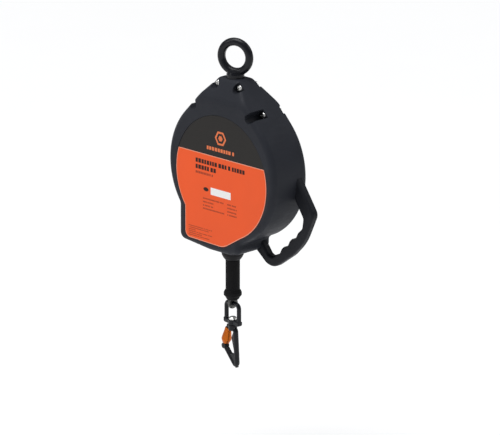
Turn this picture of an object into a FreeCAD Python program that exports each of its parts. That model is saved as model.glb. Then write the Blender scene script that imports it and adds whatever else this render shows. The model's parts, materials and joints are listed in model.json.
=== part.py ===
import FreeCAD, Part
import math
import os

# Self retracting lifeline with a 10 m steel cable.  Millimetres, +Z up.
# The origin is the centre of the anchor eye's hole; the label faces -Y.
# Heights written through z() are measured from the middle of the label.

V = FreeCAD.Vector

# ---------------------------------------------------------------- driving dimensions
CENTRE_Z = -183.0                 # middle of the label, below the eye's centre

# casing outline, seen from the front
BODY_R, BODY_Z = 112.5, 11.0      # main circle: radius, and centre above the label's middle
FLANK_ANGLE = math.radians(44.0)  # where the straight flanks leave the main circle
TOP_Z = 151.5                     # flat top under the eye
TOP_CORNER_R = 11.0
BLOCK_LEFT, BLOCK_RIGHT = -90.5, 38.0
BLOCK_BOTTOM = -118.0
BLOCK_LEFT_BOTTOM, BLOCK_RIGHT_BOTTOM = -111.5, -113.0
BLOCK_FLAT = (-28.0, 16.0)        # level stretch of the bottom, round the cable outlet
BLOCK_CORNER_R, CONCAVE_R = 12.0, 8.0

# casing depth
FRONT_Y, REAR_Y, PARTING_Y = -32.0, 41.0, 16.0
NOSE_FRONT_START, NOSE_REAR_START = 119.0, 112.0   # the faces lean in above these heights
NOSE_FRONT_Y, NOSE_REAR_Y = -15.0, 17.0
CREASE_R, RIM_R, WALL = 30.0, 9.0, 3.4

# label
LABEL_R, LABEL_X, LABEL_Z = 95.5, 1.0, 1.0
LABEL_T, LABEL_RECESS, LABEL_GAP = 0.6, 1.0, 0.6

# casing screws: place, outward direction of the open pocket, seats of the head and of the nut
FLANK_OUT = (math.cos(FLANK_ANGLE), math.sin(FLANK_ANGLE))
FLANK_OUT_LEFT = (-FLANK_OUT[0], FLANK_OUT[1])
SCREWS = [
    (23.0, 141.0, FLANK_OUT, -12.5, 18.5),
    (-23.0, 141.0, FLANK_OUT_LEFT, -12.5, 18.5),
    (59.0, 103.5, FLANK_OUT, 0.5, 33.0),
    (-59.0, 103.5, FLANK_OUT_LEFT, 0.5, 33.0),
]
POCKET_R, POCKET_WALL, POCKET_FLOOR = 7.6, 2.4, 3.5
SCREW_R, SCREW_HEAD_R, SCREW_HEAD_H, SCREW_END = 2.5, 4.6, 3.0, 0.6
BOSS_R, NUT_R, NUT_H = 6.0, 4.6, 3.2

# screws that go in from the rear and bite into blind front bosses: place and direction of the pocket;
# the first one also holds the handle's foot
FOOT_SCREW = (31.0, -103.5)
REAR_SCREWS = [(*FOOT_SCREW, (1.0, 0.0)), (-50.0, -105.0, (0.0, -1.0)), (-80.0, -80.0, (-1.0, 0.0))]
REAR_SEAT_Y, REAR_END_Y = 33.0, -14.0
NOTCHES = [(-50.0, -115.7, 12.0), (BLOCK_LEFT + 1.0, -80.0, 6.0)]   # front rim notches: place and depth
NOTCH_R = 2.8

# anchor eye
EYE_R, EYE_BAR, EYE_HOLE, EYE_TURN = 23.1, 6.1, 17.4, 19.0
COLLAR_R, SHANK_R, EYE_THREAD_R = 13.5, 6.5, 6.0
LOCK_PIN_R = 1.25

# drum and its shaft
DRUM_X, DRUM_Z = 10.0, 8.0
SHAFT_R, BUSH_R, RUNNING = 9.0, 11.5, 0.05
HUB_R, CORE_R, CORE_WALL, FLANGE_R = 17.0, 45.0, 4.0, 78.0
DRUM_HALF, FLANGE_T = 12.0, 3.0
CABLE_R, WRAPS, WRAP_PITCH = 2.2, 5, 4.75
OUTER_WRAP_R, LAYER_STEP = 66.7, 3.9

# brake and pawls
TEETH, TOOTH_TIP_R, TOOTH_ROOT_R, RATCHET_R = 12, 58.0, 63.0, 72.0
PAWL_PIVOT_R, PAWL_PIN_R, PAWL_T = 38.0, 4.0, 4.9
BRAKE_SCREW_R, PRESSURE_R = 77.0, 81.0

# frame plates and the bolts through them
FRONT_PLATE, REAR_PLATE = (-18.5, -16.0), (26.5, 29.0)
BOLT_R, SPACER_R = 3.0, 6.0
SIDE_BOLTS = [(-63.7, -43.6), (83.7, -43.6)]
TOP_BOLTS = [(-15.0, 105.0), (15.0, 105.0)]
GUIDE_BOLTS = [(-23.0, -99.0), (11.0, -99.0)]

# cable outlet and everything that hangs from it
LINE_X = -6.0
NOZZLE_TOP, NOZZLE_BOTTOM = -118.0, -133.5
SPAN_TOP, SPAN_BOTTOM = -100.0, -134.5
SLEEVE_R, SLEEVE_BORE, SLEEVE_END = 10.9, 7.2, -181.0
LOOP_Z, LOOP_HOLE, THIMBLE_T = -203.0, 3.7, 0.8
LINK_HALF, LINK_BAR, LINK_BLOCK_TOP, LINK_BLOCK_BOTTOM = 15.6, 3.4, -229.0, -236.5
RIVET_R, RIVET_HEAD_R = 4.0, 6.0
LINK_TURN = -8.0                  # turn of the cable's eye, the link and the hook about the line
NECK_TOP = LINK_BLOCK_BOTTOM - 0.5
SPINE_U, HOOK_BAR, TIP_R, TIP_Z = 11.0, 4.1, 3.0, -296.0
PIVOT_U, PIVOT_Z, LATCH_U, LATCH_Z = -18.8, -274.8, -10.9, NECK_TOP - 6.5
GATE_R, GATE_PIN_R, GATE_GAP, NOSE_R = 3.3, 1.5, 0.5, 3.4


def z(height):
    """Height above the middle of the label, in the part's frame."""
    return CENTRE_Z + height


# ---------------------------------------------------------------- solids
def rod_y(radius, y0, y1, x, height):
    return Part.makeCylinder(radius, y1 - y0, V(x, y0, z(height)), V(0, 1, 0))


def ring_y(outer, inner, y0, y1, x, height):
    return rod_y(outer, y0, y1, x, height).cut(rod_y(inner, y0 - 1, y1 + 1, x, height))


def rod_z(radius, low, high, x=0.0, y=0.0):
    """Upright cylinder between two heights."""
    return Part.makeCylinder(radius, high - low, V(x, y, z(low)))


def box(x0, x1, y0, y1, low, high):
    return Part.makeBox(x1 - x0, y1 - y0, high - low, V(x0, y0, z(low)))


def turned_z(profile, x=0.0, y=0.0):
    """Solid of revolution about an upright axis, from (radius, height) points."""
    points = [V(x + r, y, z(h)) for r, h in profile]
    face = Part.Face(Part.makePolygon(points + [points[0]]))
    return face.revolve(V(x, y, 0), V(0, 0, 1), 360)


def turned_y(profile, x, height):
    """Solid of revolution about an axis along Y, from (radius, y) points."""
    points = [V(x + r, y, z(height)) for r, y in profile]
    face = Part.Face(Part.makePolygon(points + [points[0]]))
    return face.revolve(V(x, 0, z(height)), V(0, 1, 0), 360)


def corner(before, at, after, radius):
    """Tangent points and middle of the arc that rounds one corner."""
    a, b = (before - at).normalize(), (after - at).normalize()
    half = 0.5 * a.getAngle(b)
    reach = radius / math.tan(half)
    bisector = (a + b).normalize()
    middle = at + bisector * (radius / math.sin(half) - radius)
    return at + a * reach, middle, at + b * reach


def rounded_path(points, radii, closed=False):
    """Wire of straight runs joined by tangent arcs; a radius of 0 keeps the corner sharp."""
    count = len(points)
    stops = []
    for i, (at, radius) in enumerate(zip(points, radii)):
        if radius and (closed or 0 < i < count - 1):
            stops.append(corner(points[i - 1], at, points[(i + 1) % count], radius))
        else:
            stops.append((at, None, at))
    edges = []
    for i, (_, middle, end) in enumerate(stops):
        if middle:
            edges.append(Part.Arc(*stops[i]).toShape())
        if closed or i < count - 1:
            following = stops[(i + 1) % count][0]
            if end.distanceToPoint(following) > 1e-6:
                edges.append(Part.LineSegment(end, following).toShape())
    return Part.Wire(edges)


def prism_y(outline, y0, y1):
    """Plate along Y from (x, height, corner radius) points."""
    wire = rounded_path([V(x, y0, z(h)) for x, h, _ in outline], [r for _, _, r in outline], True)
    return Part.Face(wire).extrude(V(0, y1 - y0, 0))


def bar(path, radius):
    """Round bar along a path of straight runs and tangent arcs."""
    first = path.Edges[0]
    start = first.valueAt(first.FirstParameter)
    direction = first.tangentAt(first.FirstParameter)
    profile = Part.Wire(Part.makeCircle(radius, start, direction))
    return path.makePipeShell([profile], True, False)


def slot_y(x, height, out, radius, length, y0, y1):
    """Slot along Y that runs from a point outwards."""
    dx, dz = out
    shape = rod_y(radius, y0, y1, x, height).fuse(rod_y(radius, y0, y1, x + dx * length, height + dz * length))
    side = V(-dz * radius, 0, dx * radius)
    a, b = V(x, y0, z(height)), V(x + dx * length, y0, z(height + dz * length))
    flat = Part.Face(Part.makePolygon([a + side, b + side, b - side, a - side, a + side]))
    return shape.fuse(flat.extrude(V(0, y1 - y0, 0))).removeSplitter()


def hexagon(radius, y0, y1, x, height):
    points = [V(x + radius * math.cos(k * math.pi / 3), y0, z(height) + radius * math.sin(k * math.pi / 3))
              for k in range(7)]
    return Part.Face(Part.makePolygon(points)).extrude(V(0, y1 - y0, 0))


def coil(radius, wire_r, turns, pitch, place, wide=False):
    """Helical spring along local Z, moved to its place. A wide one has an edge for each turn, so it meshes truly."""
    make_helix = Part.makeLongHelix if wide else Part.makeHelix
    helix = make_helix(pitch, pitch * turns, radius)
    profile = Part.Wire(Part.makeCircle(wire_r, V(radius, 0, 0), V(0, 1, 0)))
    spring = Part.Wire(helix.Edges).makePipeShell([profile], True, True)
    spring.Placement = place
    return spring


def group(shapes):
    return Part.makeCompound(shapes)


def joined(shapes):
    """One solid from touching or overlapping shapes."""
    first, *rest = shapes
    return first.multiFuse(rest).removeSplitter() if rest else first


# ---------------------------------------------------------------- casing
def on_circle(radius, degrees, x=0.0, height=BODY_Z):
    angle = math.radians(degrees)
    return V(x + radius * math.cos(angle), 0, z(height) + radius * math.sin(angle))


def concave_arc(radius, wall_x, side, fillet):
    """Hollow arc between the main circle and an upright wall of the bottom block."""
    centre_x = wall_x + side * fillet
    drop = math.sqrt((radius + fillet) ** 2 - centre_x ** 2)
    centre = V(centre_x, 0, z(BODY_Z - drop))
    hub = V(0, 0, z(BODY_Z))
    on_arc = hub + (centre - hub).normalize() * radius
    on_wall = V(wall_x, 0, centre.z)
    towards = ((on_arc - centre) + (on_wall - centre)).normalize()
    return on_arc, centre + towards * fillet, on_wall


def casing_face(inset):
    """Front view of the casing, moved inwards by a wall thickness."""
    radius = BODY_R - inset
    top = TOP_Z - inset
    corner_x = (radius - (top - BODY_Z) * math.sin(FLANK_ANGLE)) / math.cos(FLANK_ANGLE)
    flank_deg = math.degrees(FLANK_ANGLE)
    right_foot, left_foot = on_circle(radius, flank_deg), on_circle(radius, 180 - flank_deg)
    top_r, top_l = V(corner_x, 0, z(top)), V(-corner_x, 0, z(top))
    top_round = max(TOP_CORNER_R - inset, 1.5)
    r1, r2, r3 = corner(top_l, top_r, right_foot, top_round)
    l3, l2, l1 = corner(left_foot, top_l, top_r, top_round)

    right, left = BLOCK_RIGHT - inset, BLOCK_LEFT + inset
    cr1, cr2, cr3 = concave_arc(radius, right, 1, CONCAVE_R + inset)
    cl3, cl2, cl1 = concave_arc(radius, left, -1, CONCAVE_R + inset)
    bottom_round = BLOCK_CORNER_R - inset
    bottom = [cr3, V(right, 0, z(BLOCK_RIGHT_BOTTOM + inset)), V(BLOCK_FLAT[1], 0, z(BLOCK_BOTTOM + inset)),
              V(BLOCK_FLAT[0], 0, z(BLOCK_BOTTOM + inset)), V(left, 0, z(BLOCK_LEFT_BOTTOM + inset)), cl1]
    block = rounded_path(bottom, [0, bottom_round, 0, 0, bottom_round, 0])

    def sweep(start, end):
        hub = V(0, 0, z(BODY_Z))
        middle = hub + ((start - hub) + (end - hub)).normalize() * radius
        return Part.Arc(start, middle, end).toShape()

    edges = [Part.LineSegment(l1, r1).toShape(), Part.Arc(r1, r2, r3).toShape(),
             Part.LineSegment(r3, right_foot).toShape(), sweep(right_foot, cr1),
             Part.Arc(cr1, cr2, cr3).toShape(), *block.Edges, Part.Arc(cl1, cl2, cl3).toShape(),
             sweep(cl3, left_foot), Part.LineSegment(left_foot, l3).toShape(), Part.Arc(l3, l2, l1).toShape()]
    return Part.Face(Part.Wire(Part.__sortEdges__(edges)))


def casing_body(inset):
    """Closed body of the casing: outline, leaning nose and soft rims."""
    front, rear = FRONT_Y + inset, REAR_Y - inset
    face = casing_face(inset)
    face.translate(V(0, front, 0))
    body = face.extrude(V(0, rear - front, 0))
    top, low, reach = z(TOP_Z - inset), z(BLOCK_BOTTOM) - 20, BODY_R + 20
    starts = [z(height - 0.25 * inset) for height in (NOSE_FRONT_START, NOSE_REAR_START)]
    profile = [V(-reach, front, low), V(-reach, front, starts[0]), V(-reach, NOSE_FRONT_Y + inset, top),
               V(-reach, NOSE_REAR_Y - inset, top), V(-reach, rear, starts[1]), V(-reach, rear, low)]
    nose = Part.Face(Part.makePolygon(profile + [profile[0]])).extrude(V(2 * reach, 0, 0))
    body = body.common(nose).removeSplitter()
    creases = [e for e in body.Edges if abs(e.BoundBox.ZLength) < 1e-3 and abs(e.BoundBox.YLength) < 1e-3
               and min(abs(e.CenterOfMass.z - start) for start in starts) < 0.01]
    body = body.makeFillet(CREASE_R, creases)
    return body.makeFillet(max(RIM_R - inset, 2.0), rim_edges(body))


def rim_edges(body):
    """Edges between the front or rear skin and the side walls."""
    skins = []
    for face in body.Faces:
        u0, u1, v0, v1 = face.ParameterRange
        if abs(face.normalAt((u0 + u1) / 2, (v0 + v1) / 2).y) > 0.4:
            skins.append(face)
    edges = [edge for face in skins for edge in face.Edges]
    return [e for i, e in enumerate(edges) if not any(e.isSame(o) for j, o in enumerate(edges) if i != j)]


def label_outline(grow):
    """Front view of the label: a disc whose lower left runs down to a straight bottom edge."""
    radius = LABEL_R + grow
    left, bottom = -75.5 - grow, -107.0 - grow
    left_deg = 180 + math.degrees(math.acos(-(left - LABEL_X) / radius))
    right_deg = -64.0
    start = on_circle(radius, right_deg, LABEL_X, LABEL_Z)
    end = on_circle(radius, left_deg, LABEL_X, LABEL_Z)
    top = on_circle(radius, 90, LABEL_X, LABEL_Z)
    low = rounded_path([end, V(left, 0, z(bottom + 2)), V(6 + grow, 0, z(bottom)), start], [0, 10 + grow, 30, 0])
    return Part.Face(Part.Wire(Part.__sortEdges__([Part.Arc(start, top, end).toShape(), *low.Edges])))


def label_plate(grow, y0, y1):
    face = label_outline(grow)
    face.translate(V(0, y0, 0))
    return face.extrude(V(0, y1 - y0, 0))


def screw_bosses(outer):
    """Pocket walls and columns round every casing screw, trimmed to the outer skin."""
    wall = POCKET_R + POCKET_WALL
    parts = []
    for x, height, out, seat, nut_y in SCREWS:
        parts.append(slot_y(x, height, out, wall, 14, FRONT_Y, seat + POCKET_FLOOR))
        parts.append(slot_y(x, height, out, BOSS_R, 8, seat, nut_y))
        parts.append(slot_y(x, height, out, wall, 14, nut_y - POCKET_FLOOR, REAR_Y))
    for x, height, out in REAR_SCREWS:
        parts.append(rod_y(BOSS_R, FRONT_Y, REAR_SEAT_Y, x, height))
        parts.append(slot_y(x, height, out, wall, 14, REAR_SEAT_Y - POCKET_FLOOR, REAR_Y))
    return joined(parts).common(outer)


def screw_pockets():
    parts = []
    for x, height, out, seat, nut_y in SCREWS:
        parts.append(slot_y(x, height, out, POCKET_R, 20, FRONT_Y - 5, seat))
        parts.append(slot_y(x, height, out, POCKET_R, 20, nut_y, REAR_Y + 5))
        parts.append(rod_y(SCREW_R, seat - 1, nut_y + 1, x, height))
    for x, height, out in REAR_SCREWS:
        parts.append(slot_y(x, height, out, POCKET_R, 20, REAR_SEAT_Y, REAR_Y + 5))
        parts.append(rod_y(SCREW_R, REAR_END_Y, REAR_SEAT_Y + 1, x, height))
    parts += [rod_y(NOTCH_R, FRONT_Y - 1, FRONT_Y + depth, x, height) for x, height, depth in NOTCHES]
    return parts


def make_shells(handle):
    outer = casing_body(0.0)
    shell = outer.cut(casing_body(WALL)).fuse(screw_bosses(outer))
    cutters = screw_pockets() + [
        label_plate(LABEL_GAP, FRONT_Y - 1, FRONT_Y + LABEL_RECESS),
        rod_z(SHANK_R + 0.6, TOP_Z - 8, TOP_Z + 1),
        rod_z(12.0, NOZZLE_TOP - 1, NOZZLE_TOP + 6, LINE_X),
        handle,
    ]
    shell = shell.cut(joined(cutters[:-1])).cut(handle)
    halves = []
    for y0, y1 in ((FRONT_Y - 1, PARTING_Y), (PARTING_Y, REAR_Y + 1)):
        half = shell.common(Part.makeBox(400, y1 - y0, 500, V(-200, y0, z(-250))))
        halves.append(max(half.Solids, key=lambda s: s.Volume))
    return halves


# handle: outer and inner edge in the front view, with the finger ridges between two ends
HANDLE_Y = (16.0, 30.0)
HANDLE_OUTER = [(98.0, 34.0, 0), (147.5, -38.0, 14), (125.5, -86.0, 90), (103.0, -109.0, 60), (58.0, -141.0, 24),
                (17.0, -108.0, 0)]
HANDLE_INNER = [(34.0, -94.0, 0), (57.0, -124.5, 11), (122.5, -63.0, 10), (125.0, -47.0, 8), (99.0, -8.0, 0)]
RIDGE_FROM, RIDGE_TO, GROOVES = (65.0, -117.0), (116.0, -69.1), 3
GROOVE_R, GROOVE_DEPTH = 13.0, 4.2


def make_handle():
    outline = HANDLE_OUTER + HANDLE_INNER
    body = prism_y(outline, *HANDLE_Y)
    long_edges = [e for e in body.Edges if abs(e.BoundBox.YLength) < 1e-3
                  and e.CenterOfMass.x > 40 and e.CenterOfMass.z < z(10)]
    body = body.makeFillet(4.0, [e for e in long_edges if e.Length > 1.0])
    a, b = V(RIDGE_FROM[0], 0, z(RIDGE_FROM[1])), V(RIDGE_TO[0], 0, z(RIDGE_TO[1]))
    along = (b - a).normalize()
    inward = V(-along.z, 0, along.x)
    pitch = a.distanceToPoint(b) / GROOVES
    for k in range(GROOVES):
        middle = a + along * ((k + 0.5) * pitch) + inward * (GROOVE_R - GROOVE_DEPTH)
        body = body.cut(Part.makeCylinder(GROOVE_R, 40, middle, V(0, 1, 0)))
    return body.cut(rod_y(SCREW_R, HANDLE_Y[0] - 1, HANDLE_Y[1] + 1, *FOOT_SCREW))


def pan_screw(x, height, seat, end):
    """Pan-head screw with a cross recess, from its seat along Y to its end."""
    way = math.copysign(1.0, seat - end)
    shoulder, top = seat + way * 1.4, seat + way * SCREW_HEAD_H
    screw = turned_y([(0, end), (SCREW_R, end), (SCREW_R, seat), (SCREW_HEAD_R, seat), (SCREW_HEAD_R, shoulder),
                      (4.1, seat + way * 2.3), (3.2, top), (0, top)], x, height)
    y0, y1 = sorted((shoulder, top + way))
    cross = [box(x - wide, x + wide, y0, y1, height - tall, height + tall) for wide, tall in ((0.6, 2.7), (2.7, 0.6))]
    return screw.cut(joined(cross))


def make_screws():
    screws = [pan_screw(x, height, seat, nut_y + NUT_H + SCREW_END) for x, height, _, seat, nut_y in SCREWS]
    return group(screws + [pan_screw(x, height, REAR_SEAT_Y, REAR_END_Y) for x, height, _ in REAR_SCREWS])


def make_nuts():
    return group([hexagon(NUT_R, nut_y, nut_y + NUT_H, x, height).cut(
        rod_y(SCREW_R, nut_y - 1, nut_y + NUT_H + 1, x, height)) for x, height, _, _, nut_y in SCREWS])


# ---------------------------------------------------------------- anchor eye
COLLAR_LOW = TOP_Z + 0.3
BRACKET_TOP, BRACKET_LOW = 144.0, 139.0
WASHER_TOP, NUT_TOP, EYE_NUT_H, THREAD_END = BRACKET_LOW - 0.3, BRACKET_LOW - 2.3, 10.0, BRACKET_LOW - 14
LOCK_PIN_Z = BRACKET_LOW - 10.5


def make_eye():
    ring = Part.makeTorus(EYE_R, EYE_BAR, V(0, 0, 0), V(0, 1, 0))
    shank = turned_z([(0, COLLAR_LOW), (COLLAR_R, COLLAR_LOW), (COLLAR_R, COLLAR_LOW + 5), (12.0, COLLAR_LOW + 9.5),
                      (7.5, COLLAR_LOW + 11.5), (0, COLLAR_LOW + 11.5)])
    stem = rod_z(SHANK_R, WASHER_TOP, COLLAR_LOW + 1).fuse(rod_z(EYE_THREAD_R, THREAD_END, BRACKET_LOW))
    eye = joined([ring, shank, stem])
    eye = eye.cut(Part.makeCylinder(EYE_HOLE, 40, V(0, -20, 0), V(0, 1, 0)))
    eye = eye.cut(rod_y(LOCK_PIN_R, -10, 10, 0, LOCK_PIN_Z))
    eye.rotate(V(0, 0, 0), V(0, 0, 1), EYE_TURN)
    return eye


def make_eye_washer():
    return rod_z(10.5, NUT_TOP, WASHER_TOP).cut(rod_z(EYE_THREAD_R, NUT_TOP - 1, WASHER_TOP + 1))


def make_eye_nut():
    low, half_slot = NUT_TOP - EYE_NUT_H, LOCK_PIN_R + 0.1
    points = [V(10.9 * math.cos(k * math.pi / 3), 10.9 * math.sin(k * math.pi / 3), z(low)) for k in range(7)]
    nut = Part.Face(Part.makePolygon(points)).extrude(V(0, 0, EYE_NUT_H))
    nut = nut.cut(rod_z(EYE_THREAD_R, low - 1, NUT_TOP + 1))
    for k in range(3):
        slot = Part.makeBox(30, 2 * half_slot, 4.0, V(-15, -half_slot, z(low - 0.1)))
        slot.rotate(V(0, 0, 0), V(0, 0, 1), EYE_TURN + 90 + 60 * k)
        nut = nut.cut(slot)
    return nut


def make_eye_lock_pin():
    """Spring pin through the nut's slots and the eye's thread."""
    pin = ring_y(LOCK_PIN_R, 0.6, -11.2, 11.2, 0, LOCK_PIN_Z)
    pin.rotate(V(0, 0, 0), V(0, 0, 1), EYE_TURN)
    return pin


def make_eye_bush():
    bush = rod_z(8.5, BRACKET_LOW, BRACKET_TOP).fuse(rod_z(10.5, BRACKET_TOP, BRACKET_TOP + 1.5))
    return bush.cut(rod_z(SHANK_R + RUNNING, BRACKET_LOW - 1, BRACKET_TOP + 3))


# ---------------------------------------------------------------- frame
def make_top_bracket():
    """Steel strap: a thick top under the eye and two legs bolted to the frame plates."""
    front, rear = FRONT_PLATE[1], REAR_PLATE[0]
    t = 4.0
    profile = [(front, 93), (front, 121), (-15.2, 135), (-12.6, BRACKET_TOP), (12.6, BRACKET_TOP), (rear, 122),
               (rear, 93), (rear - t, 93), (rear - t, 120), (11.8, 135), (11.8, BRACKET_LOW),
               (-11.4, BRACKET_LOW), (-11.8, 135), (front + t, 121), (front + t, 93)]
    points = [V(-12.5, y, z(h)) for y, h in profile]
    strap = Part.Face(Part.makePolygon(points + [points[0]])).extrude(V(25, 0, 0))
    legs = [box(-24, 24, y0, y0 + t, 93, 119) for y0 in (front, rear - t)]
    bracket = joined([strap] + legs)
    for x, height in TOP_BOLTS:
        bracket = bracket.cut(rod_y(BOLT_R, -40, 60, x, height))
    return bracket.cut(rod_z(8.5, BRACKET_LOW - 2, BRACKET_TOP + 2))


def arm(x, height, width, y0, y1):
    """Flat arm of a frame plate, from the shaft out to a bolt."""
    dx, dz = x - DRUM_X, height - DRUM_Z
    length = math.hypot(dx, dz)
    out = (dx / length, dz / length)
    return slot_y(DRUM_X, DRUM_Z, out, width / 2, length, y0, y1)


def frame_plate(y0, y1, disc_r, shaft_hole):
    parts = [rod_y(disc_r, y0, y1, DRUM_X, DRUM_Z)]
    parts += [arm(x, height, 17, y0, y1) for x, height in SIDE_BOLTS + GUIDE_BOLTS]
    parts.append(prism_y([(-24, 60, 0), (24, 60, 0), (24, 121, 4), (-24, 121, 4)], y0, y1))
    plate = joined(parts)
    holes = [rod_y(BOLT_R, y0 - 1, y1 + 1, x, height) for x, height in SIDE_BOLTS + TOP_BOLTS + GUIDE_BOLTS]
    return plate.cut(joined(holes)).cut(rod_y(shaft_hole, y0 - 1, y1 + 1, DRUM_X, DRUM_Z))


def brake_screw_places():
    for k in range(6):
        angle = math.radians(60 * k + 10)
        yield DRUM_X + BRAKE_SCREW_R * math.cos(angle), DRUM_Z + BRAKE_SCREW_R * math.sin(angle)


def case_screw_places():
    for k in range(4):
        angle = math.radians(90 * k + 45)
        yield DRUM_X + 56 * math.cos(angle), DRUM_Z + 56 * math.sin(angle)


def make_front_plate():
    plate = frame_plate(*FRONT_PLATE, 64.0, 14.5)
    return plate.cut(joined([rod_y(1.5, -30, 0, x, h) for x, h in case_screw_places()]))


def make_rear_plate():
    plate = frame_plate(*REAR_PLATE, 83.0, SHAFT_R)
    return plate.cut(joined([rod_y(2.0, 20, 40, x, h) for x, h in brake_screw_places()]))


def spacer_runs():
    front, rear = FRONT_PLATE[1], REAR_PLATE[0]
    runs = [(x, h, front, rear, SPACER_R) for x, h in SIDE_BOLTS]
    runs += [(x, h, front + 4, rear - 4, SPACER_R) for x, h in TOP_BOLTS]
    for x, h in GUIDE_BOLTS:
        runs += [(x, h, front, -GUIDE_HALF, 5.0), (x, h, GUIDE_HALF, rear, 5.0)]
    return runs


def make_spacers():
    return group([ring_y(radius, BOLT_R, y0, y1, x, h) for x, h, y0, y1, radius in spacer_runs()])


def make_frame_bolts():
    shapes = []
    for x, h in SIDE_BOLTS + TOP_BOLTS + GUIDE_BOLTS:
        head = hexagon(5.5, FRONT_PLATE[0] - 3.5, FRONT_PLATE[0], x, h)
        shapes.append(head.fuse(rod_y(BOLT_R, FRONT_PLATE[0], REAR_PLATE[1] + 4.5, x, h)))
    return group(shapes)


def make_frame_nuts():
    return group([hexagon(5.5, REAR_PLATE[1], REAR_PLATE[1] + 4, x, h).cut(
        rod_y(BOLT_R, REAR_PLATE[1] - 1, REAR_PLATE[1] + 5, x, h)) for x, h in SIDE_BOLTS + TOP_BOLTS + GUIDE_BOLTS])


SHAFT_ENDS = (-28.1, 30.4)
CLIP_GROOVES = ((-28.0, -27.2), (29.0, 30.0))
CLIP_R = 7.8


def make_shaft():
    shaft = rod_y(SHAFT_R, *SHAFT_ENDS, DRUM_X, DRUM_Z)
    for y0, y1 in CLIP_GROOVES:
        shaft = shaft.cut(ring_y(SHAFT_R + 1, CLIP_R, y0, y1, DRUM_X, DRUM_Z))
    return shaft


def make_shaft_clips():
    clips = []
    for y0, y1 in CLIP_GROOVES:
        clip = ring_y(SHAFT_R + 2.2, CLIP_R, y0, y1, DRUM_X, DRUM_Z)
        clips.append(clip.cut(box(DRUM_X - 2.5, DRUM_X + 2.5, y0 - 1, y1 + 1, DRUM_Z, DRUM_Z + 20)))
    return group(clips)


# ---------------------------------------------------------------- retraction spring
CASE_R, CASE_T, CASE_FRONT = 50.0, 1.5, -27.2
SPRING_Y, SPRING_T, SPRING_PITCH, SPRING_TURNS = (-25.1, -19.1), 0.9, 2.9, 11
SPRING_START_R, ARBOR_R = 15.0, 13.0


def make_spring_case():
    rear = FRONT_PLATE[0]
    case = turned_y([(SHAFT_R, CASE_FRONT), (CASE_R + CASE_T, CASE_FRONT), (CASE_R + CASE_T, rear - CASE_T),
                     (60.5, rear - CASE_T), (60.5, rear), (CASE_R, rear), (CASE_R, CASE_FRONT + CASE_T),
                     (SHAFT_R, CASE_FRONT + CASE_T)], DRUM_X, DRUM_Z)
    return case.cut(joined([rod_y(1.5, -30, 0, x, h) for x, h in case_screw_places()]))


def make_case_screws():
    rear = FRONT_PLATE[0] - CASE_T
    return group([rod_y(2.8, rear - 2, rear, x, h).fuse(rod_y(1.5, rear, FRONT_PLATE[1], x, h))
                  for x, h in case_screw_places()])


def make_power_spring():
    """Flat spiral strip; its outer end is riveted to the case."""
    steps = 14 * SPRING_TURNS
    sides = []
    for offset in (0.0, SPRING_T):
        points = []
        for k in range(steps + 1):
            turn = k / 14.0
            radius = SPRING_START_R + SPRING_PITCH * turn + offset
            angle = 2 * math.pi * turn
            points.append(V(DRUM_X + radius * math.cos(angle), SPRING_Y[0], z(DRUM_Z) + radius * math.sin(angle)))
        curve = Part.BSplineCurve()
        curve.interpolate(points)
        sides.append(curve.toShape())
    inner, outer = sides
    caps = [Part.LineSegment(inner.Vertexes[i].Point, outer.Vertexes[i].Point).toShape() for i in (0, -1)]
    wire = Part.Wire(Part.__sortEdges__([inner, outer, *caps]))
    return Part.Face(wire).extrude(V(0, SPRING_Y[1] - SPRING_Y[0], 0))


def make_arbor():
    sleeve = ring_y(ARBOR_R, SHAFT_R + 0.6, -25.3, -(DRUM_HALF + FLANGE_T), DRUM_X, DRUM_Z)
    return sleeve.cut(box(DRUM_X + 8, DRUM_X + 20, *SPRING_Y, DRUM_Z - 0.7, DRUM_Z + 0.7))


# ---------------------------------------------------------------- drum
def flange_screw_places():
    for k in range(6):
        angle = math.radians(60 * k)
        yield DRUM_X + 43 * math.cos(angle), DRUM_Z + 43 * math.sin(angle)


def make_drum():
    """Hub, cable core and front flange in one casting, with lightening holes."""
    front = ring_y(FLANGE_R, BUSH_R, -DRUM_HALF - FLANGE_T, -DRUM_HALF, DRUM_X, DRUM_Z)
    core = ring_y(CORE_R, CORE_R - CORE_WALL, -DRUM_HALF, DRUM_HALF, DRUM_X, DRUM_Z)
    hub = ring_y(HUB_R, BUSH_R, -DRUM_HALF, DRUM_HALF, DRUM_X, DRUM_Z)
    drum = joined([front, core, hub])
    holes = []
    for k in range(6):
        angle = math.radians(60 * k + 30)
        x, height = DRUM_X + 29 * math.cos(angle), DRUM_Z + 29 * math.sin(angle)
        holes.append(rod_y(8.5, -DRUM_HALF - 5, -DRUM_HALF + 1, x, height))
    holes += [rod_y(1.5, DRUM_HALF - 8, DRUM_HALF + 1, x, height) for x, height in flange_screw_places()]
    return drum.cut(joined(holes))


def make_drum_flange():
    flange = ring_y(FLANGE_R, BUSH_R, DRUM_HALF, DRUM_HALF + FLANGE_T, DRUM_X, DRUM_Z)
    return flange.cut(joined([rod_y(1.5, 10, 20, x, height) for x, height in flange_screw_places()]))


PAWL_PLATE_Y = (15.0, 19.3)


def make_flange_screws():
    rear = PAWL_PLATE_Y[1]
    return group([rod_y(1.5, DRUM_HALF - 8, rear, x, height) for x, height in flange_screw_places()])


def make_drum_bushes():
    runs = ((-15.0, -6.0), (6.0, 19.3))
    return group([ring_y(BUSH_R, SHAFT_R + RUNNING, y0, y1, DRUM_X, DRUM_Z) for y0, y1 in runs])


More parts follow.
